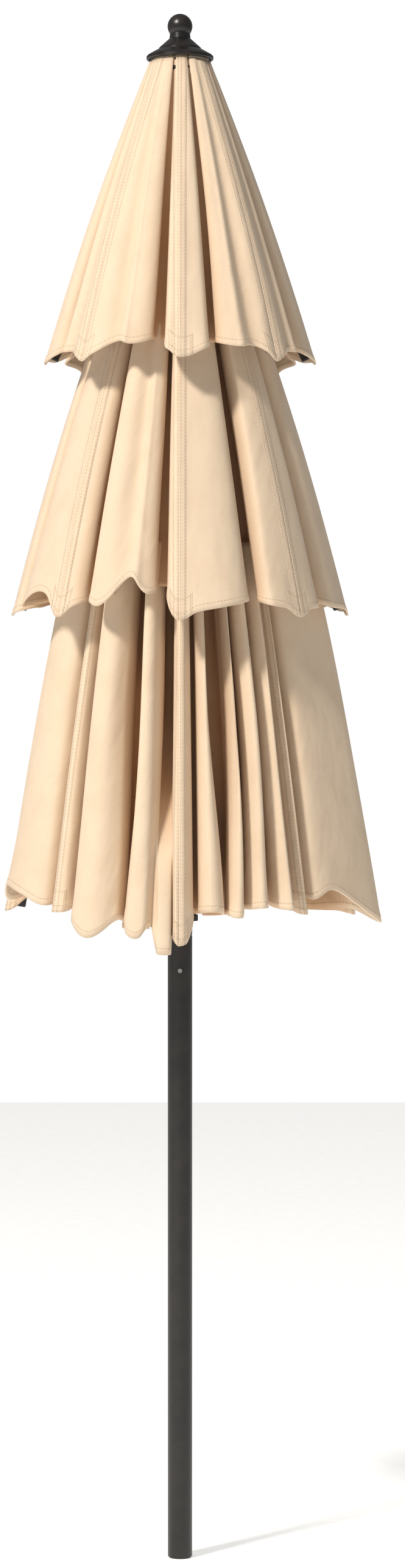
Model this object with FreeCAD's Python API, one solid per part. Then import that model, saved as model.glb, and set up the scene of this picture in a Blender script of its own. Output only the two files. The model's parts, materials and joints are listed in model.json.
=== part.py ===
"""Three-tier patio umbrella, furled: a two-piece pole, a crown, eight ribs with tier arms, a push-up
runner with eight struts, and a canopy of eight three-tier gores. Millimetres, +Z up, origin at the
centre of the pole's lower end, -Y is the front."""
import FreeCAD, Part
import math
import os
from FreeCAD import Vector

# --- driving dimensions --------------------------------------------------------------------------
POLE_HEIGHT = 2306.0
POLE_R = 19.0
POLE_WALL = 1.5
LOWER_POLE = 965.0             # length of the lower pole; the upper pole is the rest
RIBS = 8
FIRST_RIB_DEG = -90.0          # the first rib faces the front
RIB_LENGTH = 1290.0            # crown pivot to rib end
STRUT_LENGTH = 625.0           # also the distance from the crown pivot to the strut bracket
FURLED_DEG = 9.5               # rib angle from the pole when furled
FIT = 0.3                      # gap round a piece that slides or turns
PRESS = 0.05                   # gap round a piece that is pressed or glued in

RIB_WIDTH = 8.0
RIB_DEPTH = 14.0
RIB_WALL = 1.2
TONGUE_WIDTH = 6.0             # flat tongue at a rib root and at a strut foot
STRUT_TONGUE = 66.0
EYE_R = 6.0
PIN_R = 2.0
PIN_LENGTH = 12.0
RIVET_HEAD = 1.5
STRUT_CHEEK = 2.0
STRUT_DEPTH = 12.0
STRUT_WALL = 1.2
STRUT_FORK = 62.0
ARM_WIDTH = 4.0
ARM_DEPTH = 8.0
SADDLE_WALL = 1.5
SADDLE_UP = 22.0               # saddle length above and below an arm's foot
SADDLE_DOWN = 30.0
TIP_WALL = 2.0
TIP_LENGTH = 26.0              # how far an end cap reaches back over its bar
TIP_NOSE = 8.0
TIP_ROUND = 1.8

# each tier's fabric, furled: a drop below the crown pivot as a share of the rib's length, and a
# stand-off outside the rib's centre line; the first tier's top edge is under the cap instead
TIER_TOPS = [(0.267, 19.0), (0.562, 14.0)]
TIER_HEMS = [(0.34, 96.0), (0.64, 81.0), (0.994, 46.0)]
ARM_FEET = [0.093, 0.372]      # where the upper tiers' arms leave the rib, as shares of its length
ARM_INSET = 12.0               # an arm's end, inside the hem that it carries
ARM_RISE = 14.0                # and above it
FABRIC = 0.8
SEAM_GAP = 1.5                 # half the gap between two gores' solids

CROWN_DROP = 16.0              # crown pivots below the pole's top end
PIVOT_OUT = 16.0               # pivot circle outside the pole, on the crown and the runner
HUB_RIM = 11.0                 # hub and runner flange outside the pivot circle
HUB_BELOW = 26.0               # crown hub below its pivots
HUB_PLATE = 4.0                # ceiling over the pole's top end
SLOT_END = 10.0                # slot's inner end, inside the pivot circle
SLIDE_GAP = 0.4
RUNNER_WALL = 5.6
RUNNER_FLANGE = 20.0
RUNNER_BELOW = 70.0            # sleeve length below the pivot circle
RUNNER_ABOVE = 34.0
GRIP_WALL = 3.0
GRIP_HEIGHT = 10.0
LATCH_WIDTH = 9.0
LATCH_HEIGHT = 26.0
LATCH_DROP = 44.0              # latch centre below the runner's pivot circle
LATCH_DEG = 112.5              # at the back, midway between two struts
LATCH_TRAVEL = 3.0
LATCH_PROUD = 3.0
LATCH_ROUND = 1.2

CAP_OUT = 6.0                  # cap rim outside the hub
CAP_LIFT = 16.0                # cap rim above the hub's ceiling
CAP_RIM = 7.0
CAP_SKIRT = 13.0               # height of the lower, flared part
CAP_CONE = 13.0                # height of the upper cone
CAP_BEAD_R = 31.0
CAP_BEAD = 1.5
CAP_WALL = 3.0
NECK_R = 16.5
BALL_R = 19.3
STUD_R = 5.0
STUD_DEPTH = 12.0              # stud length inside the pole
BOSS_WALL = 6.0                # cap's middle boss, round the stud

SLEEVE_WALL = 1.5
SLEEVE_LENGTH = 170.0
SLEEVE_RIVET_R = 3.5
SLEEVE_RIVET_DROP = 55.0       # rivets below the joint between the poles
JOINT_CHAMFER = 1.0
PLUG_LIP = 2.5
PLUG_WALL = 3.0
PLUG_DEPTH = 22.0

# --- values worked out from them -----------------------------------------------------------------
POLE_BORE_R = POLE_R - POLE_WALL
PIVOT_R = POLE_R + PIVOT_OUT
PIVOT_Z = POLE_HEIGHT - CROWN_DROP
HUB_R = PIVOT_R + HUB_RIM
HUB_TOP = POLE_HEIGHT + HUB_PLATE
SLOT_R = PIVOT_R - SLOT_END
CAP_R = HUB_R + CAP_OUT
CAP_LOW = HUB_TOP + CAP_LIFT
CAP_TOP = CAP_LOW + CAP_RIM + CAP_SKIRT + CAP_CONE
FURLED = math.radians(FURLED_DEG)
RUNNER_Z = PIVOT_Z - 2 * STRUT_LENGTH * math.cos(FURLED)
RUNNER_R = POLE_R + SLIDE_GAP + RUNNER_WALL
STEP_DEG = 360.0 / RIBS
ROOT_GAP = HUB_BELOW + 2 * EYE_R   # the rib's tube starts this far down its tongue
FORK_WIDTH = RIB_WIDTH + 2 * FIT
STRUT_WIDTH = FORK_WIDTH + 2 * STRUT_CHEEK
Z_AXIS = Vector(0, 0, 1)
SIDEWAYS = Vector(0, 1, 0)
ORIGIN = Vector(0, 0, 0)


def rib_azimuth(index):
    """Azimuth of a rib in degrees."""
    return FIRST_RIB_DEG + index * STEP_DEG


def turned(shape, azimuth):
    """A copy of a shape drawn in the XZ half-plane, turned about the pole."""
    copy = shape.copy()
    copy.rotate(ORIGIN, Z_AXIS, azimuth)
    return copy


def tube(outer_r, inner_r, low, high):
    """A round tube about the pole's axis."""
    solid = Part.makeCylinder(outer_r, high - low, Vector(0, 0, low))
    return solid.cut(Part.makeCylinder(inner_r, high - low, Vector(0, 0, low)))


def revolved(points):
    """A turned solid from its half outline, a list of (r, z)."""
    outline = Part.makePolygon([Vector(r, 0, z) for r, z in points + points[:1]])
    return Part.Face(outline).revolve(ORIGIN, Z_AXIS, 360)


def bar(start, end, width, depth, start_gap=0.0, end_gap=0.0):
    """A rectangular bar in the XZ plane from one (r, z) to another, with its ends set back."""
    along = Vector(end[0] - start[0], 0, end[1] - start[1])
    length = along.Length - start_gap - end_gap
    box = Part.makeBox(depth, width, length, Vector(-depth / 2, -width / 2, start_gap))
    turn = FreeCAD.Rotation(Z_AXIS, along)
    box.Placement = FreeCAD.Placement(Vector(start[0], 0, start[1]), turn)
    return box.copy()


def cross_pin(point, radius, length):
    """A pin along the tangential direction, centred on an (r, z) point."""
    return Part.makeCylinder(radius, length, Vector(point[0], -length / 2, point[1]), SIDEWAYS)


def rib_point(distance):
    """The (r, z) point on the furled rib's centre line at a distance from its pivot."""
    return PIVOT_R + distance * math.sin(FURLED), PIVOT_Z - distance * math.cos(FURLED)


def beside_rib(share, stand_off):
    """The (r, z) point a share of the rib's length below the pivots, outside the rib's centre line."""
    drop = share * RIB_LENGTH
    return PIVOT_R + drop * math.tan(FURLED) + stand_off, PIVOT_Z - drop


def arm_lines():
    """Each tier arm's foot distance down the rib and its end point."""
    ends = [beside_rib(share, stand_off) for share, stand_off in TIER_HEMS]
    return [(foot * RIB_LENGTH, (r - ARM_INSET, z + ARM_RISE)) for foot, (r, z) in zip(ARM_FEET, ends)]


CROWN_PIVOT = rib_point(0)
BRACKET = rib_point(STRUT_LENGTH)
RIB_END = rib_point(RIB_LENGTH)
RUNNER_PIVOT = (PIVOT_R, RUNNER_Z)


# --- pole ----------------------------------------------------------------------------------------
def joint_chamfer(low):
    """Ring that breaks a pole's outer edge at the joint, from the joint's height up or down."""
    ring = [(POLE_R - JOINT_CHAMFER, LOWER_POLE), (POLE_R + 1, LOWER_POLE), (POLE_R + 1, low),
            (POLE_R, low)]
    return revolved(ring)


def sleeve_rivets(gap=0.0):
    """Two rivets, flush with the lower pole, that hold the joint sleeve in it."""
    z = LOWER_POLE - SLEEVE_RIVET_DROP
    inner = POLE_BORE_R - PRESS - SLEEVE_WALL
    outer = POLE_R - FIT + 2 * gap
    front = Part.makeCylinder(SLEEVE_RIVET_R + gap, outer - inner, Vector(0, -outer, z), SIDEWAYS)
    back = Part.makeCylinder(SLEEVE_RIVET_R + gap, outer - inner, Vector(0, inner, z), SIDEWAYS)
    return Part.makeCompound([front, back])


def pole_lower():
    """Lower pole, with the sleeve rivets' holes."""
    body = tube(POLE_R, POLE_BORE_R, 0, LOWER_POLE).cut(joint_chamfer(LOWER_POLE - JOINT_CHAMFER))
    return body.cut(sleeve_rivets(PRESS + FIT))


def pole_upper():
    """Upper pole, from the joint to the crown."""
    body = tube(POLE_R, POLE_BORE_R, LOWER_POLE, POLE_HEIGHT)
    return body.cut(joint_chamfer(LOWER_POLE + JOINT_CHAMFER))


def joint_sleeve():
    """Inner sleeve, riveted into the lower pole, that the upper pole slides on to."""
    outer = POLE_BORE_R - PRESS
    low = LOWER_POLE - SLEEVE_LENGTH / 2
    return tube(outer, outer - SLEEVE_WALL, low, low + SLEEVE_LENGTH).cut(sleeve_rivets(PRESS))


def foot_plug():
    """Plastic plug that closes the pole's lower end."""
    outer = POLE_BORE_R - PRESS
    stem = tube(outer, outer - PLUG_WALL, 0, PLUG_DEPTH)
    lip = Part.makeCylinder(POLE_BORE_R, PLUG_LIP, Vector(0, 0, -PLUG_LIP))
    rounded = lip.makeFillet(PLUG_LIP / 2, [e for e in lip.Edges if e.BoundBox.ZMax < -PLUG_LIP / 2])
    return stem.fuse(rounded).removeSplitter()


# --- crown, cap and finial -----------------------------------------------------------------------
def crown_hub():
    """Slotted crown over the pole's top end; its ceiling rests on the pole."""
    low = PIVOT_Z - HUB_BELOW
    body = tube(HUB_R, POLE_R + PRESS, low, POLE_HEIGHT)
    plate = tube(HUB_R, STUD_R - PRESS, POLE_HEIGHT, HUB_TOP)
    hub = body.fuse(plate).removeSplitter()
    slot_top = PIVOT_Z + EYE_R + 2 * FIT
    width = TONGUE_WIDTH + 2 * FIT
    for index in range(RIBS):
        slot = Part.makeBox(HUB_R, width, slot_top - low, Vector(SLOT_R, -width / 2, low))
        pin = cross_pin(CROWN_PIVOT, PIN_R, PIN_LENGTH)
        hub = hub.cut(turned(slot, rib_azimuth(index))).cut(turned(pin, rib_azimuth(index)))
    return hub


def crown_pins():
    """The eight rib hinge pins."""
    pin = cross_pin(CROWN_PIVOT, PIN_R, PIN_LENGTH)
    return Part.makeCompound([turned(pin, rib_azimuth(index)) for index in range(RIBS)])


def top_cap():
    """Two-step conical cap over the crown and the top edge of the first tier."""
    skirt_low = CAP_LOW + CAP_RIM
    bead_z = skirt_low + CAP_SKIRT
    boss_r = STUD_R + BOSS_WALL
    outer = [(CAP_R - 1, CAP_LOW), (CAP_R, CAP_LOW + 1), (CAP_R, skirt_low - 2), (CAP_R - 2, skirt_low),
             ((CAP_R + CAP_BEAD_R) / 2, skirt_low + CAP_SKIRT / 2 - CAP_BEAD),
             (CAP_BEAD_R + CAP_BEAD, bead_z - 2 * CAP_BEAD), (CAP_BEAD_R + CAP_BEAD, bead_z - CAP_BEAD),
             (CAP_BEAD_R, bead_z), (NECK_R, CAP_TOP), (STUD_R + PRESS, CAP_TOP)]
    inner = [(STUD_R + PRESS, HUB_TOP), (boss_r, HUB_TOP), (boss_r, bead_z),
             (CAP_BEAD_R - CAP_WALL, bead_z - CAP_WALL), (CAP_R - 2 * CAP_WALL, skirt_low - CAP_WALL),
             (CAP_R - CAP_WALL, CAP_LOW)]
    return revolved(outer + inner)


def finial():
    """Ball finial on a wide neck, with its stud down through the cap into the crown."""
    centre = CAP_TOP + BALL_R
    ball = Part.makeSphere(BALL_R, Vector(0, 0, centre))
    neck = Part.makeCone(NECK_R - PRESS, NECK_R - 1, BALL_R / 2, Vector(0, 0, CAP_TOP))
    low = POLE_HEIGHT - STUD_DEPTH
    stud = Part.makeCylinder(STUD_R - 2 * PRESS, CAP_TOP + NECK_R - low, Vector(0, 0, low))
    return ball.fuse([neck, stud]).removeSplitter()


# --- ribs ----------------------------------------------------------------------------------------
def rib():
    """Main rib: a square tube with a flat eyed tongue at the crown."""
    hollow_width = RIB_WIDTH - 2 * RIB_WALL
    outer = bar(CROWN_PIVOT, RIB_END, RIB_WIDTH, RIB_DEPTH, start_gap=ROOT_GAP)
    hollow = bar(CROWN_PIVOT, RIB_END, hollow_width, RIB_DEPTH - 2 * RIB_WALL, start_gap=ROOT_GAP + 2 * EYE_R)
    tongue = bar(CROWN_PIVOT, RIB_END, TONGUE_WIDTH, 2 * EYE_R, end_gap=RIB_LENGTH - ROOT_GAP - EYE_R)
    eye = cross_pin(CROWN_PIVOT, EYE_R, TONGUE_WIDTH)
    body = outer.cut(hollow).fuse([tongue, eye]).removeSplitter()
    crown_hole = cross_pin(CROWN_PIVOT, PIN_R + PRESS, RIB_WIDTH)
    bracket_hole = cross_pin(BRACKET, PIN_R + PRESS, 2 * RIB_WIDTH)
    return body.cut(crown_hole).cut(bracket_hole)


def strut_rivet():
    """Rivet through the rib that the strut's fork turns on, with a head each side."""
    half = STRUT_WIDTH / 2 + FIT
    shank = cross_pin(BRACKET, PIN_R, 2 * half)
    heads = [Part.makeCylinder(2 * PIN_R, RIVET_HEAD, Vector(BRACKET[0], side, BRACKET[1]), SIDEWAYS)
             for side in (half, -half - RIVET_HEAD)]
    return shank.fuse(heads).removeSplitter()


def tier_arms():
    """The two arms that stand off the rib and carry the hems of the upper and middle tiers."""
    rib_space = bar(CROWN_PIVOT, RIB_END, RIB_WIDTH, RIB_DEPTH)
    arms = []
    for foot, end in arm_lines():
        arm = bar(rib_point(foot), end, ARM_WIDTH, ARM_DEPTH)
        saddle = bar(rib_point(foot - SADDLE_UP), rib_point(foot + SADDLE_DOWN),
                     RIB_WIDTH + 2 * SADDLE_WALL, RIB_DEPTH + 2 * SADDLE_WALL)
        arms.append(arm.fuse(saddle).removeSplitter().cut(rib_space))
    return Part.makeCompound(arms)


def tip_cap(end, back, width, depth):
    """A plastic cap with a rounded nose over a bar's end; back is a point further up the bar."""
    length = Vector(back[0] - end[0], 0, back[1] - end[1]).Length
    body = bar(back, end, width + 2 * TIP_WALL, depth + 2 * TIP_WALL, length - TIP_LENGTH, -TIP_NOSE)
    toward = Vector(end[0] - back[0], 0, end[1] - back[1]).normalize()
    nose = Vector(end[0], 0, end[1]) + toward * TIP_NOSE
    front = max(body.Faces, key=lambda face: -face.CenterOfMass.distanceToPoint(nose))
    rounded = body.makeFillet(TIP_ROUND, front.Edges)
    return rounded.cut(bar(back, end, width, depth))


def rib_tips():
    """Plastic end caps of the rib and of its two arms."""
    caps = [tip_cap(RIB_END, CROWN_PIVOT, RIB_WIDTH, RIB_DEPTH)]
    for foot, end in arm_lines():
        caps.append(tip_cap(end, rib_point(foot), ARM_WIDTH, ARM_DEPTH))
    return Part.makeCompound(caps)


# --- struts and runner ---------------------------------------------------------------------------
def strut():
    """Strut: a fork astride the rib, a square tube, and a tongue with a cross pin for the runner."""
    clear = 4 * STRUT_DEPTH
    fork = bar(BRACKET, RUNNER_PIVOT, STRUT_WIDTH, STRUT_DEPTH, end_gap=STRUT_LENGTH - STRUT_FORK)
    eyes = cross_pin(BRACKET, STRUT_DEPTH / 2, STRUT_WIDTH)
    tube_start = STRUT_FORK - RIB_WIDTH
    beam = bar(BRACKET, RUNNER_PIVOT, STRUT_WIDTH, STRUT_DEPTH, tube_start, STRUT_TONGUE)
    bore = bar(BRACKET, RUNNER_PIVOT, STRUT_WIDTH - 2 * STRUT_WALL, STRUT_DEPTH - 2 * STRUT_WALL,
               STRUT_FORK + STRUT_CHEEK, STRUT_TONGUE + STRUT_CHEEK)
    fork_space = bar(BRACKET, RUNNER_PIVOT, FORK_WIDTH, clear, -STRUT_DEPTH, STRUT_LENGTH - STRUT_FORK)
    tongue = bar(BRACKET, RUNNER_PIVOT, TONGUE_WIDTH, STRUT_DEPTH, STRUT_LENGTH - STRUT_TONGUE - STRUT_CHEEK)
    foot = cross_pin(RUNNER_PIVOT, EYE_R, TONGUE_WIDTH)
    pin = cross_pin(RUNNER_PIVOT, PIN_R, PIN_LENGTH)
    upper = fork.fuse([eyes, beam]).cut(fork_space).cut(bore)
    body = upper.fuse([tongue, foot, pin]).removeSplitter()
    return body.cut(cross_pin(BRACKET, PIN_R + PRESS, 2 * STRUT_WIDTH))


def runner_hub():
    """Sliding runner: a sleeve on the pole, and a flange with slots, open below, for the struts' feet."""
    bore = POLE_R + SLIDE_GAP
    low = RUNNER_Z - RUNNER_FLANGE / 2
    sleeve = tube(RUNNER_R, bore, RUNNER_Z - RUNNER_BELOW, RUNNER_Z + RUNNER_ABOVE)
    flange = tube(HUB_R, bore, low, low + RUNNER_FLANGE)
    body = sleeve.fuse(flange).removeSplitter()
    slot_width = TONGUE_WIDTH + 4 * FIT
    slot = Part.makeBox(HUB_R, slot_width, RUNNER_FLANGE, Vector(PIVOT_R - EYE_R - 2, -slot_width / 2, low))
    pin_r = PIN_R + FIT
    pin_width = PIN_LENGTH + 2 * FIT
    pocket = Part.makeBox(2 * pin_r, pin_width, RUNNER_Z + pin_r - low,
                          Vector(PIVOT_R - pin_r, -pin_width / 2, low))
    for index in range(RIBS):
        body = body.cut(turned(slot, rib_azimuth(index))).cut(turned(pocket, rib_azimuth(index)))
    window_low = RUNNER_Z - LATCH_DROP - LATCH_HEIGHT / 2 - FIT
    window = Part.makeBox(2 * POLE_R, LATCH_WIDTH + 2 * FIT, LATCH_HEIGHT + 2 * FIT,
                          Vector(0, -LATCH_WIDTH / 2 - FIT, window_low))
    return body.cut(turned(window, LATCH_DEG))


def runner_grip():
    """Rubber grip ring on the runner's sleeve, below the latch."""
    z = RUNNER_Z - RUNNER_BELOW
    ring = tube(RUNNER_R + GRIP_WALL, RUNNER_R + PRESS, z, z + GRIP_HEIGHT)
    edges = [e for e in ring.Edges if e.BoundBox.XMax > RUNNER_R + GRIP_WALL / 2 and e.BoundBox.ZLength < 1]
    return ring.makeFillet(GRIP_WALL / 2 - PRESS, edges)


def runner_latch():
    """Thumb latch in the runner's sleeve; pressed, it moves towards the pole."""
    z = RUNNER_Z - LATCH_DROP
    inner = POLE_R + SLIDE_GAP + LATCH_TRAVEL
    outer = RUNNER_R + LATCH_TRAVEL + LATCH_PROUD
    box = Part.makeBox(outer - inner, LATCH_WIDTH, LATCH_HEIGHT,
                       Vector(inner, -LATCH_WIDTH / 2, z - LATCH_HEIGHT / 2))
    outer_edges = [e for e in box.Edges if e.BoundBox.XMin > outer - LATCH_ROUND]
    return turned(box.makeFillet(LATCH_ROUND, outer_edges), LATCH_DEG)


# --- canopy --------------------------------------------------------------------------------------
def tier_edges():
    """Each tier's top and hem points."""
    tops = [(CAP_R - 2 * CAP_WALL - 2 * FABRIC, CAP_LOW + CAP_WALL / 2)]
    tops += [beside_rib(share, stand_off) for share, stand_off in TIER_TOPS]
    return list(zip(tops, [beside_rib(share, stand_off) for share, stand_off in TIER_HEMS]))


def gore(index):
    """The three tiers' fabric between one rib and the next, as thin cone sectors."""
    sectors = []
    for (top_r, top_z), (hem_r, hem_z) in tier_edges():
        outline = Part.makePolygon([Vector(r, 0, z) for r, z in (
            (top_r, top_z), (top_r + FABRIC, top_z), (hem_r + FABRIC, hem_z), (hem_r, hem_z), (top_r, top_z))])
        gap = math.degrees(math.asin(SEAM_GAP / top_r))
        sector = Part.Face(outline).revolve(ORIGIN, Z_AXIS, STEP_DEG - 2 * gap)
        sectors.append(turned(sector, rib_azimuth(index) + gap))
    return Part.makeCompound(sectors)


def build():
    """Writes every node's STEP file."""
    os.makedirs("parts", exist_ok=True)
    nodes = {
        "pole_lower": pole_lower(), "pole_upper": pole_upper(), "joint_sleeve": joint_sleeve(),
        "sleeve_rivets": sleeve_rivets(), "foot_plug": foot_plug(), "crown_hub": crown_hub(),
        "crown_pins": crown_pins(), "top_cap": top_cap(), "finial": finial(),
        "runner_hub": runner_hub(), "runner_grip": runner_grip(), "runner_latch": runner_latch(),
    }
    per_rib = {"rib": rib(), "tier_arms": tier_arms(), "rib_tips": rib_tips(),
               "strut_rivet": strut_rivet(), "strut": strut()}
    for index in range(RIBS):
        for name, shape in per_rib.items():
            nodes[f"{name}_{index + 1}"] = turned(shape, rib_azimuth(index))
        nodes[f"canopy_gore_{index + 1}"] = gore(index)
    for name, shape in nodes.items():
        shape.exportStep(f"parts/{name}.step")
        print(name, len(shape.Solids), round(shape.Volume), shape.isValid())


build()
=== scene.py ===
# %% [markdown]
# # A three-tier patio umbrella, furled
# The hard parts (pole, ribs, struts, runner, cap, ball) come in as fixed solids. This lesson dresses
# them in real finishes and hangs the cloth: three tiers of eight gores each, folded round the pole.
# Loading the solids first gives the box that everything has to stay in.

# %% Load the fixed frame
import json
import math

import bpy
import numpy as np
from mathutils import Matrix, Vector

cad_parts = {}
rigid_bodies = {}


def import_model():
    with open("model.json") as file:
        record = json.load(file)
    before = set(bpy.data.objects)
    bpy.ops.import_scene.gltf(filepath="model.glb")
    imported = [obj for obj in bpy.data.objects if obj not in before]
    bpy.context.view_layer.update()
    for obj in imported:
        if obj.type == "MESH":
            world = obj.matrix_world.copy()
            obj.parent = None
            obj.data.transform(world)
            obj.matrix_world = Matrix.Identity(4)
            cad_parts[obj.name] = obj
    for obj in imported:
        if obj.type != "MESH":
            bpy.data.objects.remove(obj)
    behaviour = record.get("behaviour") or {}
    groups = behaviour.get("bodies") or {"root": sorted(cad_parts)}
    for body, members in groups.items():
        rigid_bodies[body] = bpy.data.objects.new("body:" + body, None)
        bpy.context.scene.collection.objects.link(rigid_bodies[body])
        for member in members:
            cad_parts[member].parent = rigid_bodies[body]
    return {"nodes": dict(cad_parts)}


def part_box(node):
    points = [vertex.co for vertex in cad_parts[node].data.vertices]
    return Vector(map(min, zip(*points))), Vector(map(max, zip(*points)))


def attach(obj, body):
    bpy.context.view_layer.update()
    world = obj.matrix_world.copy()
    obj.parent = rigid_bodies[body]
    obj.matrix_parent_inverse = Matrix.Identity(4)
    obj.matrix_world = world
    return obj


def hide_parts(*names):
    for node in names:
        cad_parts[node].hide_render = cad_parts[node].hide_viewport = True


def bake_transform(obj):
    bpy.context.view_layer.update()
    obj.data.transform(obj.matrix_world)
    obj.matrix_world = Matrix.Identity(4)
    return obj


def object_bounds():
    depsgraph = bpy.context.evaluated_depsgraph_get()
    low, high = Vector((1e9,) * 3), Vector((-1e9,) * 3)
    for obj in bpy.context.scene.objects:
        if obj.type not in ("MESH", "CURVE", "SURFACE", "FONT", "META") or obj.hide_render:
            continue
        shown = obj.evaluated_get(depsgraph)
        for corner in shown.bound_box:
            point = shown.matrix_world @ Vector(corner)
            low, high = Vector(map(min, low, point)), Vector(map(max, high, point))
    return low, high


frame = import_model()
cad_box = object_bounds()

nodes = frame["nodes"]
print("solids:", len(nodes), "box:", [list(corner) for corner in cad_box])

# %% [markdown]
# ## Measures read from the solids
# The cap and the pole's top end fix where the cloth starts and where the ribs turn, so their heights
# are read from the solids' boxes.

# %% Heights and radii
RIBS = 8
GORE = math.tau / RIBS
FRONT = -math.pi / 2
MM = 0.001


def rib_azimuth(k):
    """Azimuth of rib k, counted from 1: the front one first, then on to the right."""
    return FRONT + (k - 1) * GORE


pole_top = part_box("pole_upper")[1].z
cap_low, cap_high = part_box("top_cap")
print("pole top", round(pole_top, 4), "cap", round(cap_low.z, 4), "to", round(cap_high.z, 4))

# %% [markdown]
# ## Small helpers
# Every mesh below is a grid of points worked out with numpy. One helper puts such arrays into a
# mesh, one turns the hex colours of paint charts into linear light, and one adds a shader node.

# %% Helpers for meshes, colours and nodes
def linear(hex_code):
    """sRGB hex to linear RGBA: c/12.92 below 0.04045, otherwise ((c + 0.055)/1.055) to the 2.4."""
    c = np.array([int(hex_code[i:i + 2], 16) for i in (1, 3, 5)]) / 255
    c = np.where(c <= 0.04045, c / 12.92, ((c + 0.055) / 1.055) ** 2.4)
    return (*c.tolist(), 1.0)


def new_mesh(name, points, quads, smooth=True):
    """A mesh object from an (n, 3) array of points and an (m, 4) array of corner numbers."""
    mesh = bpy.data.meshes.new(name)
    mesh.from_pydata(points, [], quads.tolist())
    mesh.update()
    mesh.polygons.foreach_set("use_smooth", np.full(len(quads), smooth))
    piece = bpy.data.objects.new(name, mesh)
    bpy.context.collection.objects.link(piece)
    return piece


def add_uv(piece, name, per_point):
    """A UV map from one (u, v) pair per point."""
    mesh = piece.data
    corners = np.empty(len(mesh.loops), dtype=np.int32)
    mesh.loops.foreach_get("vertex_index", corners)
    layer = mesh.uv_layers.new(name=name)
    layer.data.foreach_set("uv", per_point[corners].astype(np.float32).ravel())


def add_node(tree, kind, links=(), **settings):
    """A shader node; settings are its properties or inputs by name, links join (output, input name)."""
    node = tree.nodes.new("ShaderNode" + kind)
    for key, value in settings.items():
        if hasattr(node, key):
            setattr(node, key, value)
        else:
            node.inputs[key.replace("_", " ")].default_value = value
    for output, into in links:
        tree.links.new(output, node.inputs[into])
    return node


def new_material(name):
    """A material with only its output, and its node tree."""
    material = bpy.data.materials.new(name)
    material.use_nodes = True
    tree = material.node_tree
    tree.nodes.clear()
    return material, tree, tree.nodes.new("ShaderNodeOutputMaterial")


print("helpers ready")

# %% [markdown]
# ## How the cloth folds
# A furled umbrella keeps its cloth between the ribs in tucks: the gore runs from rib to rib, dips
# through a narrow mouth, spreads out flat behind its neighbours, and comes back out. The folds wanted
# are particular ones, so they are drawn and not simulated: each gore's fold is a control polygon of
# tucks and crowns, and a cubic B-spline rounds it, as a stiff canvas does.

# %% A tuck, a crown and the spline that rounds them
def tuck(at, depth, mouth, left, right, lift=10, lips=(14, 14), kept=1.0):
    """Control points (across, out, lift) in mm of one inward fold, at a place in mm across the gore.
    lips are the widths of its rounded shoulders, and kept is the share of it that is left, or less
    than 0 where it bulges out instead."""
    rim = 3 - 80 * min(kept, 0)
    half = mouth / 2
    depth, left, right = depth * kept, half + (left - half) * kept, half + (right - half) * kept
    a, b = at - half, at + half
    return [(a - lips[0], rim, 0.1 * lift), (a - 0.6 * lips[0], -0.02 * depth, 0.2 * lift),
            (a - 0.25 * lips[0], -0.14 * depth, 0.4 * lift), (a, -0.42 * depth, 0.7 * lift),
            (at - left, -0.62 * depth, lift), (at - left, -depth, lift),
            (at + right, -depth, lift), (at + right, -0.62 * depth, lift),
            (b, -0.42 * depth, 0.7 * lift), (b + 0.25 * lips[1], -0.14 * depth, 0.4 * lift),
            (b + 0.6 * lips[1], -0.02 * depth, 0.2 * lift), (b + lips[1], rim, 0.1 * lift)]


def b_spline(polygon, t):
    """Points at t (0 to 1) on the clamped cubic B-spline of a polygon. Each is the sum of four
    neighbouring control points, weighted (1-f)^3/6, (3f^3-6f^2+4)/6, (1+3f+3f^2-3f^3)/6 and f^3/6."""
    p = np.array([polygon[0]] * 2 + list(polygon) + [polygon[-1]] * 2, float)
    t = t * (len(p) - 3 - 1e-9)
    i, f = t.astype(int), (t % 1)[:, None]
    weights = [(1 - f) ** 3, 3 * f ** 3 - 6 * f ** 2 + 4, 1 + 3 * f + 3 * f ** 2 - 3 * f ** 3, f ** 3]
    return sum(w * p[i + step] for step, w in enumerate(weights)) / 6


def even_steps(polygon, count):
    """The spline's t at count even steps of length, measured across and out."""
    t = np.linspace(0, 1, 4000)
    step = np.linalg.norm(np.diff(b_spline(polygon, t)[:, :2], axis=0), axis=1)
    length = np.concatenate([[0], np.cumsum(step)])
    return np.interp(np.linspace(0, length[-1], count), length, t)


lone = b_spline([(0, 0, 0)] + tuck(50, 50, 10, 20, 20) + [(100, 0, 0)], np.linspace(0, 1, 400))
lone_length = float(np.linalg.norm(np.diff(lone[:, :2], axis=0), axis=1).sum())
print("cloth in 100 mm with a tuck, mm:", round(lone_length))

# %% [markdown]
# ## The fold plan
# Each tier has a plan: its top edge and its hem (radius and height, mm), how far the folds are
# already formed at the top edge, and one list of folds for each gore: ("tuck", share across, depth,
# mouth at the top and at the hem, left, right, lift, lips, share kept at the hem) and ("crown",
# share across, out, lift). The front gores carry the broad panels, the deep dark creases and the
# hanging loops, where a tuck opens out again just above the hem; the back ones are folded evenly.

# %% Tier plans
TIGHT = (8, 8)


def even_tucks(count, depth, spread, lift, mouth=8):
    """A gore with count even tucks, and crowns between them."""
    plan = []
    for i in range(count):
        plan.append(("crown", (i + 0.08) / count, 5, lift))
        plan.append(("tuck", (i + 0.5) / count, depth, (mouth, mouth), spread, spread, lift + 8))
    return plan + [("crown", (count - 0.08) / count, 5, lift)]


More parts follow.
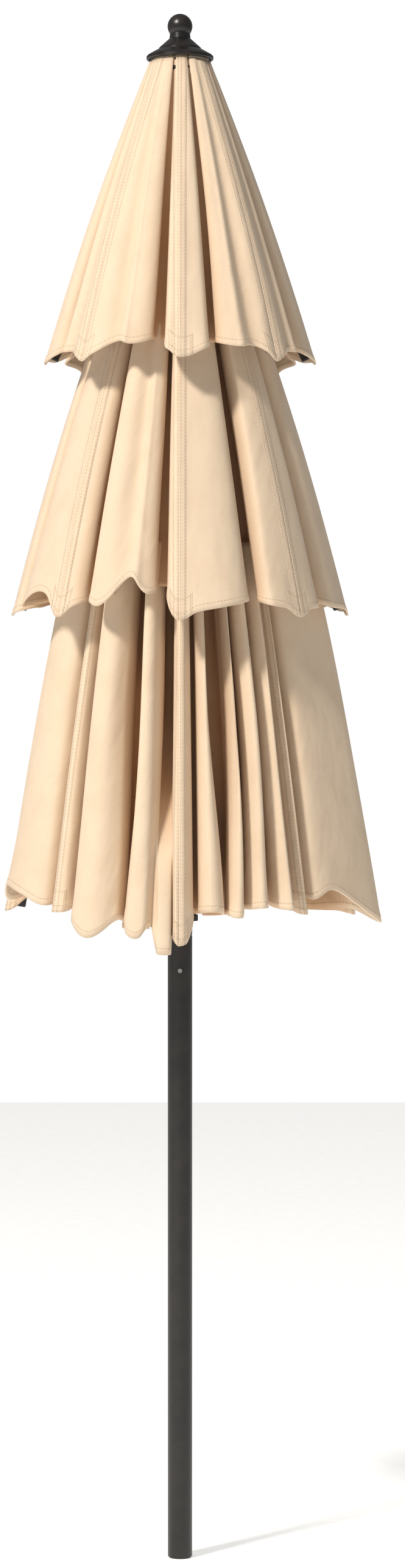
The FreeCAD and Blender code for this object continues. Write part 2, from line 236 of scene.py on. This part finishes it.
TIERS = [
    dict(name="upper", top=(44.5, 2327.5), hem=(203, 1850), formed=0.06, growth=0.9, belly=7, sway=0.012,
         scallop=14, columns=120, rib_out=[7] * 8, rib_lift={**dict.fromkeys(range(1, 9), -8), 3: 2, 7: 2}, gores=[
        [("crown", 0.10, 3, -10), ("tuck", 0.36, 60, (12, 12), 22, 28, 8, (14, 30)), ("crown", 0.62, 9, 0),
         ("crown", 0.76, -14, 14), ("crown", 0.90, 9, 2)],
        [("crown", 0.12, 9, 0), ("crown", 0.24, -8, 8), ("tuck", 0.52, 56, (14, 14), 28, 28, 12, (24, 24)),
         ("crown", 0.90, 8, 0)],
        even_tucks(1, 50, 26, 6), even_tucks(1, 50, 26, 8),
        even_tucks(1, 50, 26, 6), even_tucks(1, 50, 26, 8),
        [("crown", 0.10, 8, 0), ("tuck", 0.46, 56, (14, 14), 28, 28, 12, (24, 24)), ("crown", 0.76, -8, 8),
         ("crown", 0.90, 9, 0)],
        [("crown", 0.10, 9, -2), ("crown", 0.22, 6, 2), ("crown", 0.34, -14, 16), ("crown", 0.48, 8, 8),
         ("tuck", 0.79, 66, (16, 16), 36, 14, 14, (44, 10)), ("crown", 0.96, 2, -4)]]),
    dict(name="middle", top=(112, 1945), hem=(253, 1462), formed=0.66, growth=0.7, belly=6, sway=0.014,
         scallop=12, columns=160, rib_out=[8] * 8,
         rib_lift={**dict.fromkeys(range(1, 9), -10), 1: -18, 3: 0, 7: 0}, gores=[
        [("crown", 0.10, 4, -6), ("crown", 0.30, 6, -4), ("tuck", 0.66, 88, (20, 12), 104, 56, 14, (36, 12)),
         ("crown", 0.90, 6, 4)],
        [("crown", 0.10, 4, 4), ("tuck", 0.36, 82, (12, 12), 60, 104, 14, (16, 40)), ("crown", 0.80, 6, 8)],
        even_tucks(2, 60, 28, 12), even_tucks(2, 60, 28, 16),
        even_tucks(2, 60, 28, 12), even_tucks(2, 60, 28, 16),
        [("tuck", 0.26, 84, (10, 10), 42, 120, 10, (14, 30)), ("crown", 0.58, 7, 16), ("crown", 0.76, 4, 34),
         ("crown", 0.92, 5, 22)],
        [("crown", 0.06, 2, 4), ("tuck", 0.22, 64, (16, 16), 34, 34, 16, (30, 10)), ("crown", 0.38, 10, -18),
         ("crown", 0.50, 10, 4), ("crown", 0.60, -8, 36), ("crown", 0.70, 8, 54),
         ("tuck", 0.87, 64, (9, 12), 40, 15, 30, (26, 8))]]),
    dict(name="lower", top=(168, 1568), hem=(267, 1003), formed=0.72, growth=0.7, belly=4, sway=0.022,
         scallop=6, columns=190, rib_out=[20] + [4] * 7, rib_lift={1: -44, 8: 4, 3: -6}, gores=[
        [("crown", 0.04, 20, -40), ("tuck", 0.13, 62, (8, 6), 16, 16, 0, TIGHT), ("crown", 0.24, 22, 12),
         ("tuck", 0.36, 88, (40, 5), 28, 30, -6, TIGHT), ("crown", 0.45, 18, -46),
         ("tuck", 0.535, 62, (10, 7), 18, 15, 6, TIGHT), ("crown", 0.63, 24, 14),
         ("tuck", 0.745, 64, (10, 7), 18, 18, 16, TIGHT), ("crown", 0.85, 22, 6),
         ("tuck", 0.92, 66, (12, 8), 20, 8, 30)],
        [("tuck", 0.10, 84, (8, 8), 14, 76, 46), ("crown", 0.24, 8, 44), ("crown", 0.45, 18, 20),
         ("crown", 0.66, 36, -8), ("crown", 0.86, 58, -36), ("tuck", 0.93, 84, (6, 6), 76, 7, 0, (8, 4))],
        even_tucks(3, 84, 26, 24), even_tucks(3, 84, 26, 34),
        even_tucks(3, 84, 26, 26), even_tucks(3, 84, 26, 32),
        [("tuck", 0.09, 96, (8, 8), 12, 84, 34), ("crown", 0.25, 8, 46), ("crown", 0.50, 13, 30),
         ("crown", 0.75, 12, 20), ("tuck", 0.92, 96, (8, 8), 84, 8, 24)],
        [("tuck", 0.13, 76, (16, 8), 16, 30, 20, TIGHT), ("crown", 0.22, 18, -10), ("crown", 0.32, 28, -44),
         ("crown", 0.43, 26, -48), ("tuck", 0.57, 92, (24, 8), 28, 28, -28, TIGHT), ("crown", 0.66, 26, -44),
         ("crown", 0.76, 26, -58), ("tuck", 0.89, 100, (22, 22), 30, 12, -60, (10, 4), -0.24)]]),
]
print("gores planned:", sum(len(tier["gores"]) for tier in TIERS))

# %% [markdown]
# ## From plan to cloth
# The rounded plan is the hem's outline. Going up the tier, the folds close towards the top edge,
# the radius shrinks along a slightly bellied line, and the lift fades, so the hem alone is scalloped.
# Long shallow waves keep two neighbouring folds from looking alike.

# %% The gore surface
ROWS = 64
CLOTH = 0.9 * MM
HEM_BAND = 11 * MM


def fold_polygon(tier, k, arc, at_hem):
    """The control polygon of gore k of a tier, from rib line to rib line, in mm."""
    rib_lift = tier.get("rib_lift", {})
    polygon = [(0, tier["rib_out"][k - 1], rib_lift.get(k, 0))]
    for kind, share, *rest in tier["gores"][k - 1]:
        if kind == "crown":
            polygon.append((share * arc, *rest))
        else:
            kept = rest.pop() if len(rest) == 7 else 1.0
            depth, (above, below), *rest = rest
            mouth, left_over = (below, kept) if at_hem else (above, 1.0)
            polygon += tuck(share * arc, depth, mouth, *rest, kept=left_over)
    return polygon + [(arc, tier["rib_out"][k % RIBS], rib_lift.get(k % RIBS + 1, 0))]


def smooth_step(x, low, high):
    """0 below low, 1 above high, and 3t^2 - 2t^3 between."""
    t = np.clip((x - low) / (high - low), 0, 1)
    return t * t * (3 - 2 * t)


def gore_surface(tier, k, low=0.0, high=1.0, rows=ROWS):
    """Points of gore k of a tier, (rows, columns, 3), between two shares of its height, and how far
    each lies behind the outer folds.
    radius = lean line + belly*sin(pi v) + fold*(formed + (1-formed)*v^growth) + waves;
    angle = rib's azimuth + across/arc * 45 degrees; height = lean line + (lift + scallop)*v^6."""
    (top_r, top_z), (hem_r, hem_z) = tier["top"], tier["hem"]
    arc = hem_r * GORE
    above, at_hem = (fold_polygon(tier, k, arc, hem) for hem in (False, True))
    t = even_steps(above, tier["columns"])
    v = np.linspace(low, high, rows)[:, None]
    u = np.linspace(0, 1, tier["columns"])[None, :]
    opened = smooth_step(v, 0.35, 0.98)
    across, out, lift = (b_spline(above, t)[:, axis] * (1 - opened) + b_spline(at_hem, t)[:, axis] * opened
                         for axis in range(3))
    pinned = np.sin(math.pi * u) ** 0.5                     # waves fade out at the seams
    bell = np.exp(-np.linspace(-3, 3, 19) ** 2 / 2)
    straight = lift[:, :1] * (1 - u) + lift[:, -1:] * u
    lift = np.apply_along_axis(np.convolve, 1, lift - straight, bell / bell.sum(), "same")
    arch = np.sin(math.pi * u)
    lift = straight + lift * smooth_step(u, 0, 0.05) * smooth_step(1 - u, 0, 0.05) + tier["scallop"] * arch
    grown = tier["formed"] + (1 - tier["formed"]) * v ** tier["growth"]
    phase = 1.7 * k + 2.3 * len(tier["name"])
    waves = (1.6 * np.sin(9 * u + 5 * v + phase) + 1.1 * np.sin(17 * u - 7 * v + 2 * phase)) * pinned * v
    radius = top_r + (hem_r - top_r) * v + tier["belly"] * np.sin(math.pi * v) + out * grown + waves
    sway = tier["sway"] * arch * (np.sin(3.2 * v + phase) + 0.6 * np.sin(5 * v + 9 * u + phase)) * v
    angle = rib_azimuth(k) + across / arc * GORE + sway
    height = top_z + (hem_z - top_z) * v + lift * v ** 6
    points = np.stack([radius * np.cos(angle), radius * np.sin(angle), height + 0 * angle], axis=-1) * MM
    return points, np.clip(-out * grown / 80, 0, 1)


def outward(points):
    """Unit normals of a grid: the cross product of its steps down and across."""
    down = np.gradient(points, axis=0)
    side = np.gradient(points, axis=1)
    n = np.cross(down, side)
    return n / np.maximum(np.linalg.norm(n, axis=-1, keepdims=True), 1e-12)


def cloth_lengths(points):
    """For each point, its distance in metres from the first rib's seam along the cloth, the row's
    whole width, and its distance up from the hem."""
    side = np.linalg.norm(np.diff(points, axis=1), axis=-1)
    from_left = np.concatenate([np.zeros((len(points), 1)), np.cumsum(side, axis=1)], axis=1)
    down = np.linalg.norm(np.diff(points, axis=0), axis=-1)
    from_top = np.concatenate([np.zeros((1, points.shape[1])), np.cumsum(down, axis=0)], axis=0)
    return from_left, from_left[:, -1:], from_top[-1:] - from_top


def cloth_area(points):
    """The area of a grid: the length of the cross product of its two steps, added up."""
    down, side = np.gradient(points, axis=0), np.gradient(points, axis=1)
    return float(np.linalg.norm(np.cross(down, side), axis=-1).sum())


def shell_quads(rows, columns):
    """Corner numbers of a closed shell: the outer grid, the inner one turned round, and four rims."""
    i, j = np.meshgrid(np.arange(rows - 1), np.arange(columns - 1), indexing="ij")
    a = (i * columns + j).ravel()
    outer = np.stack([a, a + columns, a + columns + 1, a + 1], axis=1)
    back = rows * columns
    ring = np.concatenate([np.arange(columns), np.arange(1, rows) * columns + columns - 1,
                           (rows - 1) * columns + np.arange(columns - 2, -1, -1),
                           np.arange(rows - 2, 0, -1) * columns])
    after = np.roll(ring, -1)
    rims = np.stack([ring, after, after + back, ring + back], axis=1)
    return np.concatenate([outer, outer[:, ::-1] + back, rims])


def cloth_panel(name, points, behind, hem=True):
    """A closed shell of cloth round a grid of points, thicker in the turned hem. Its UV maps are
    cloth (along, up from the hem) and seam (distance to the nearer seam, up from the hem), and its
    attribute hollow says how far each point lies behind the outer folds."""
    rows, columns = points.shape[:2]
    along, width, up = cloth_lengths(points)
    thick = np.full((rows, columns), CLOTH)
    if hem:
        thick += 1.5 * MM * np.clip((HEM_BAND + 1.5 * MM - up) / (1.5 * MM), 0, 1)
    shift = outward(points) * thick[..., None] / 2
    shell = np.concatenate([(points + shift).reshape(-1, 3), (points - shift).reshape(-1, 3)])
    piece = new_mesh(name, shell, shell_quads(rows, columns))
    near = np.minimum(along, width - along)
    for layer, first in (("cloth", along), ("seam", near)):
        pair = np.stack([first, up + 0 * first], axis=-1).reshape(-1, 2)
        add_uv(piece, layer, np.concatenate([pair, pair]))
    hollow = piece.data.attributes.new("hollow", "FLOAT", "POINT")
    hollow.data.foreach_set("value", np.tile(behind.ravel(), 2).astype(np.float32))
    return piece


sample, behind = gore_surface(TIERS[2], 8)
print("lower front gore's hem cloth, m:", round(float(cloth_lengths(sample)[1][-1, 0]), 3))

# %% [markdown]
# ## Hanging the gores
# Each gore is a closed shell of cloth that takes the place of the solid gore, which is hidden. Its cut
# is worked out from where its top edge and hem would swing to with the ribs opened by 60 degrees about
# their crown pivots, and for each tier the cut's size and the share of its area that hangs are printed.

# %% Make every tier
PIVOT_RADIUS = 35                                           # crown pivots, from the pole's axis
PIVOT_DROP = 16                                             # and below its top end
SWING = math.pi / 3


def open_chord(radius, height):
    """Width in mm from rib to rib where a furled point (radius, height) ends up with the ribs
    swung out by 60 degrees about their crown pivots."""
    r, z = radius - PIVOT_RADIUS, height - (pole_top / MM - PIVOT_DROP)
    swung = PIVOT_RADIUS + r * math.cos(SWING) - z * math.sin(SWING)
    return 2 * swung * math.sin(GORE / 2)


canopy = []
for tier in TIERS:
    (top_r, top_z), (hem_r, hem_z) = tier["top"], tier["hem"]
    low = 0.012 if tier["name"] == "upper" else 0.0
    cut_top = max(open_chord(top_r + (hem_r - top_r) * low, top_z + (hem_z - top_z) * low), 40) * MM
    cut_hem = open_chord(hem_r, hem_z) * MM
    slant = math.hypot(hem_r - top_r, top_z - hem_z) * (1 - low) * MM
    cut_area = (cut_top + cut_hem) / 2 * slant
    shares = []
    for k in range(1, RIBS + 1):
        surface, behind = gore_surface(tier, k, low)
        shares.append(round(cloth_area(surface) / cut_area, 2))
        panel = cloth_panel(f"{tier['name']}_gore_{k}", surface, behind)
        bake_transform(panel)
        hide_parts(f"canopy_gore_{k}")
        canopy.append(panel)
    print(tier["name"], "cut, m:", round(cut_top, 3), round(cut_hem, 3), round(slant, 3))
    print("share of the cut's area that hangs:", shares)

# %% [markdown]
# The top edge of the upper tier is clamped under the cap and doesn't turn with the ribs. So the
# first 31 mm below the cap is a collar of its own that stays on the pole, just inside the gores.

# %% Collar under the cap
rings = [gore_surface(TIERS[0], k, 0.0, 0.065, rows=8) for k in range(1, RIBS + 1)]
collar_points = np.concatenate([ring[0][:, :-1] for ring in rings] + [rings[0][0][:, :1]], axis=1)
collar_behind = np.concatenate([ring[1][:, :-1] for ring in rings] + [rings[0][1][:, :1]], axis=1)
collar_points[..., :2] *= 0.97
collar = cloth_panel("upper_collar", collar_points, collar_behind, hem=False)
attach(collar, "pole")
canopy.append(collar)

# %% [markdown]
# ## Shader arithmetic
# A pattern is arithmetic on coordinates in metres. One helper adds a Math node and hands back its
# output, another makes a soft band, and a third a bump whose height is in metres.

# %% Arithmetic helpers
def calc(tree, operation, *values):
    """The output of a Math node whose inputs are numbers or other nodes' outputs."""
    node = tree.nodes.new("ShaderNodeMath")
    node.operation = operation
    for i, value in enumerate(values):
        if isinstance(value, (int, float)):
            node.inputs[i].default_value = value
        else:
            tree.links.new(value, node.inputs[i])
    return node.outputs[0]


def band(tree, distance, middle, half):
    """1 on a line and 0 beyond half its width: max(0, 1 - |distance - middle| / half)."""
    off = calc(tree, "ABSOLUTE", calc(tree, "SUBTRACT", distance, middle))
    return calc(tree, "MAXIMUM", calc(tree, "SUBTRACT", 1.0, calc(tree, "DIVIDE", off, half)), 0.0)


def step_up(tree, distance, edge, width):
    """0 up to an edge and 1 beyond it, over a width."""
    ramp = calc(tree, "DIVIDE", calc(tree, "SUBTRACT", distance, edge), width)
    return calc(tree, "MINIMUM", calc(tree, "MAXIMUM", ramp, 0.0), 1.0)


def bump(tree, height, distance, strength=1.0, normal=None):
    """A Bump node: height times distance is the relief in metres."""
    node = add_node(tree, "Bump", links=[(height, "Height")], Strength=strength, Distance=distance)
    if normal is not None:
        tree.links.new(normal, node.inputs["Normal"])
    return node.outputs[0]


def mix_colours(tree, factor, first, second):
    """first where factor is 0 and second where it is 1; colours are hex codes or outputs."""
    node = add_node(tree, "Mix", data_type="RGBA", links=[(factor, 0)])
    for socket, colour in ((6, first), (7, second)):
        if isinstance(colour, str):
            node.inputs[socket].default_value = linear(colour)
        else:
            tree.links.new(colour, node.inputs[socket])
    return node.outputs[2]


def noise(tree, where, scale, detail=3.0, stretch=(1, 1, 1)):
    """A noise pattern with scale cells per metre, stretched along the axes."""
    mapping = add_node(tree, "Mapping", links=[(where, "Vector")], Scale=stretch)
    node = add_node(tree, "TexNoise", links=[(mapping.outputs[0], "Vector")], Scale=scale, Detail=detail)
    return node.outputs[0]


print("shader helpers ready")

# %% [markdown]
# ## Polyester canvas
# The cloth is a plain-woven, piece-dyed polyester of about 180 g/m2. It is matt with a faint sheen
# at grazing angles. The cloth inside the folds is painted a deeper tan: this is painted shade, for the
# dimmer, warmer light deep in the folds; it is painted on the cloth, so it stays when the umbrella opens.
# Threads 0.5 mm apart can't show at this distance, so the weave is drawn at 2 mm: warp and weft are
# two sine waves, and each crossing shows whichever is higher. Thick threads (slubs) are long thin
# noise along the warp. A flat seam 10 mm wide joins the gores, with a row of stitches on each side
# of it; the hem is turned up 11 mm and topstitched; and a pocket 34 mm tall, stitched at its edge,
# holds the tip of each rib or arm.

# %% Canvas material
STITCH = 5.5 * MM
canvas, tree, output = new_material("woven_polyester_canvas")
cloth_uv = add_node(tree, "UVMap", uv_map="cloth").outputs[0]
seam_uv = add_node(tree, "UVMap", uv_map="seam").outputs[0]
hollow = add_node(tree, "Attribute", attribute_name="hollow").outputs["Fac"]
along = add_node(tree, "SeparateXYZ", links=[(cloth_uv, 0)]).outputs[0]
split = add_node(tree, "SeparateXYZ", links=[(seam_uv, 0)])
from_seam, up = split.outputs[0], split.outputs[1]

turn = 2 * math.pi / (2 * MM)
warp = calc(tree, "SINE", calc(tree, "MULTIPLY", along, turn))
weft = calc(tree, "SINE", calc(tree, "MULTIPLY", up, turn))
weave = calc(tree, "MULTIPLY", warp, weft)
slubs = noise(tree, cloth_uv, 70, 2.0, (1, 8, 1))
mottle = noise(tree, cloth_uv, 16, 4.0)
creases = noise(tree, cloth_uv, 9, 2.0, (2.4, 1, 1))

dashes = calc(tree, "SINE", calc(tree, "MULTIPLY", up, 2 * math.pi / STITCH))
hem_dashes = calc(tree, "SINE", calc(tree, "MULTIPLY", along, 2 * math.pi / STITCH))
seam_rows = calc(tree, "ADD", band(tree, from_seam, 2.5 * MM, 0.9 * MM),
                 band(tree, from_seam, 9 * MM, 0.9 * MM))
seam_thread = calc(tree, "MULTIPLY", seam_rows, step_up(tree, dashes, -0.5, 0.3))
hem_thread = calc(tree, "MULTIPLY", band(tree, up, 9.5 * MM, 1.0 * MM), step_up(tree, hem_dashes, -0.5, 0.3))
pocket = calc(tree, "MULTIPLY", step_up(tree, from_seam, 22 * MM, -1.5 * MM),
              step_up(tree, up, 34 * MM, -1.5 * MM))
pocket_side = calc(tree, "MULTIPLY", band(tree, from_seam, 19 * MM, 1.1 * MM), step_up(tree, up, 34 * MM, -1 * MM))
pocket_top = calc(tree, "MULTIPLY", band(tree, up, 31 * MM, 1.1 * MM), step_up(tree, from_seam, 22 * MM, -1 * MM))
pocket_edge = calc(tree, "MULTIPLY", calc(tree, "MAXIMUM", pocket_side, pocket_top), 0.7)
threads = calc(tree, "MAXIMUM", calc(tree, "MAXIMUM", seam_thread, hem_thread), pocket_edge)
seam_step = step_up(tree, from_seam, 11 * MM, -1.2 * MM)

# Painted shade: the cloth turns a deeper tan the further it lies behind the outer folds (hollow).
cloth = mix_colours(tree, calc(tree, "POWER", step_up(tree, hollow, 0.0, 0.5), 0.8), "#E3CDB2", "#C49E78")
cloth = mix_colours(tree, calc(tree, "MULTIPLY", step_up(tree, mottle, 0.45, 0.25), 0.28), cloth, "#D2B698")
cloth = mix_colours(tree, calc(tree, "MULTIPLY", step_up(tree, slubs, 0.56, 0.12), 0.16), cloth, "#C9A67F")
cloth = mix_colours(tree, calc(tree, "MULTIPLY", step_up(tree, weave, -1.0, 2.0), 0.10), cloth, "#F0DCC4")
cloth = mix_colours(tree, calc(tree, "MULTIPLY", threads, 0.5), cloth, "#B8946C")

relief = bump(tree, creases, 9 * MM, 0.45)
raised = calc(tree, "ADD", calc(tree, "ADD", seam_step, pocket), calc(tree, "MULTIPLY", threads, -0.8))
relief = bump(tree, raised, 0.9 * MM, 0.8, relief)
relief = bump(tree, calc(tree, "ADD", weave, calc(tree, "MULTIPLY", slubs, 1.5)), 0.12 * MM, 0.6, relief)
shade = add_node(tree, "BsdfPrincipled", links=[(cloth, "Base Color"), (relief, "Normal")],
                 Roughness=0.88, Sheen_Weight=0.12, Sheen_Roughness=0.5)
tree.links.new(shade.outputs[0], output.inputs[0])
for panel in canopy:
    panel.data.materials.append(canvas)
print("canvas on", len(canopy), "panels, nodes:", len(tree.nodes))

# %% [markdown]
# ## Frame materials
# The tubes are aluminium with a baked dark bronze powder coat, whose skin has a fine orange peel and
# a few lighter specks. The crown, cap, ball, runner and tips are moulded plastic with a fine spark
# grain and faint flow marks. Pins and rivets are zinc-plated steel with a grain that is drawn out along
# one axis, and so is the rubber grip's. Every pattern uses Object coordinates, so its scale is in metres.

# %% Frame material recipes
def frame_material(name, dark, light, rough, grain, depth, metal=0.0, coat=0.0, stretch=(1, 1, 1)):
    """A painted, moulded or plated surface: colour mottled between two tones at 25 mm, fine specks,
    roughness that wanders by a tenth, and a grain of a given size and depth in metres."""
    material, tree, output = new_material(name)
    where = add_node(tree, "TexCoord").outputs["Object"]
    broad = noise(tree, where, 40, 4.0, stretch)
    fine = noise(tree, where, 1 / grain, 3.0, stretch)
    specks = calc(tree, "MULTIPLY", step_up(tree, noise(tree, where, 900, 1.0), 0.66, 0.06), 0.35)
    colour = mix_colours(tree, step_up(tree, broad, 0.35, 0.3), dark, light)
    colour = mix_colours(tree, specks, colour, light)
    wander = calc(tree, "ADD", calc(tree, "MULTIPLY", broad, 0.16), rough - 0.08)
    relief = bump(tree, broad, 0.5 * MM, 0.2, bump(tree, fine, depth, 0.7))
    shade = add_node(tree, "BsdfPrincipled", Metallic=metal, Coat_Weight=coat, Coat_Roughness=0.25,
                     links=[(colour, "Base Color"), (wander, "Roughness"), (relief, "Normal")])
    tree.links.new(shade.outputs[0], output.inputs[0])
    return material


bronze_paint = frame_material("powder_coated_aluminium", "#151311", "#23201C", 0.42, 2.5 * MM, 0.08 * MM,
                              coat=0.15)
rib_paint = frame_material("powder_coated_steel", "#26221E", "#3A342D", 0.48, 2.2 * MM, 0.08 * MM, coat=0.1)
plastic = frame_material("moulded_polypropylene", "#1F1E1E", "#302D2C", 0.36, 1.6 * MM, 0.05 * MM)
cap_plastic = frame_material("moulded_bronze_polypropylene", "#171616", "#292524", 0.32, 1.8 * MM, 0.06 * MM)
steel = frame_material("zinc_plated_steel", "#8E918F", "#B4B6B2", 0.34, 1.0 * MM, 0.03 * MM, metal=1.0,
                       stretch=(1, 1, 6))
rubber = frame_material("ribbed_rubber", "#161616", "#242322", 0.66, 2.0 * MM, 0.12 * MM, stretch=(1, 1, 4))

NODE_MATERIALS = [
    (bronze_paint, ["pole_lower", "pole_upper", "joint_sleeve"]),
    (cap_plastic, ["top_cap", "finial"]),
    (plastic, ["foot_plug", "crown_hub", "runner_hub", "runner_latch"]),
    (rubber, ["runner_grip"]),
    (steel, ["crown_pins", "sleeve_rivets"]),
]
for k in range(1, RIBS + 1):
    NODE_MATERIALS += [(rib_paint, [f"rib_{k}", f"tier_arms_{k}", f"strut_{k}"]),
                       (plastic, [f"rib_tips_{k}"]), (steel, [f"strut_rivet_{k}"])]
painted = 0
for material, names in NODE_MATERIALS:
    for name in names:
        for piece in bpy.data.objects:
            if piece.type == "MESH" and piece.name.split(".")[0].split("__")[0] == name:
                piece.data.materials.clear()
                piece.data.materials.append(material)
                painted += 1
print("frame pieces with a material:", painted)

# %% [markdown]
# ## Floor, light and camera
# A pale paper floor that glows a little, as a lit one does, a warm key light from the front left and
# above, and a weak white fill from all round. The sky looks white to the camera but lights less.

# %% Stage
scene = bpy.context.scene
scene.view_settings.view_transform = "Standard"
world = bpy.data.worlds.new("soft_studio")
world.use_nodes = True
scene.world = world
sky = world.node_tree.nodes["Background"]
sky.inputs["Color"].default_value = linear("#FFFFFF")
seen = add_node(world.node_tree, "LightPath")
strength = add_node(world.node_tree, "MapRange", To_Min=0.22, To_Max=1.0,
                    links=[(seen.outputs["Is Camera Ray"], "Value")])
world.node_tree.links.new(strength.outputs[0], sky.inputs["Strength"])

floor_points = np.array([(-9, -9, 0), (9, -9, 0), (9, 9, 0), (-9, 9, 0)], float) + (0, 0, -0.0025)
floor = new_mesh("studio_floor", floor_points, np.array([(0, 1, 2, 3)]))
paper, tree, output = new_material("white_backdrop_paper")
fibres = noise(tree, add_node(tree, "TexCoord").outputs["Object"], 30, 4.0)
white = mix_colours(tree, fibres, "#F6F4F0", "#FFFFFF")
shade = add_node(tree, "BsdfPrincipled", links=[(white, "Base Color"), (white, "Emission Color")],
                 Roughness=0.9, Emission_Strength=0.62)
tree.links.new(shade.outputs[0], output.inputs[0])
floor.data.materials.append(paper)


def area_light(name, place, target, size, power, colour="#FFFFFF"):
    """A square light of a size in metres, aimed at a point."""
    light = bpy.data.lights.new(name, "AREA")
    light.size, light.energy, light.color = size, power, linear(colour)[:3]
    lamp = bpy.data.objects.new(name, light)
    bpy.context.collection.objects.link(lamp)
    place, target = np.array(place, float), np.array(target, float)
    away = place - target
    lamp.location = place
    lamp.rotation_euler = (math.acos(away[2] / np.linalg.norm(away)), 0, math.atan2(away[0], -away[1]))
    return lamp


area_light("key", (-3.4, -4.4, 6.4), (0, 0, 1.5), 0.9, 530, "#FFF9F1")

camera = bpy.data.cameras.new("front_view")
camera.lens = 93
camera_object = bpy.data.objects.new("front_view", camera)
camera_object.location = (0.035, -6.3, 1.2)
camera_object.rotation_euler = (math.pi / 2, 0, 0)
bpy.context.collection.objects.link(camera_object)
scene.camera = camera_object
print("camera at", tuple(camera_object.location))

# %% Sizes, then finish
low, high = cad_box
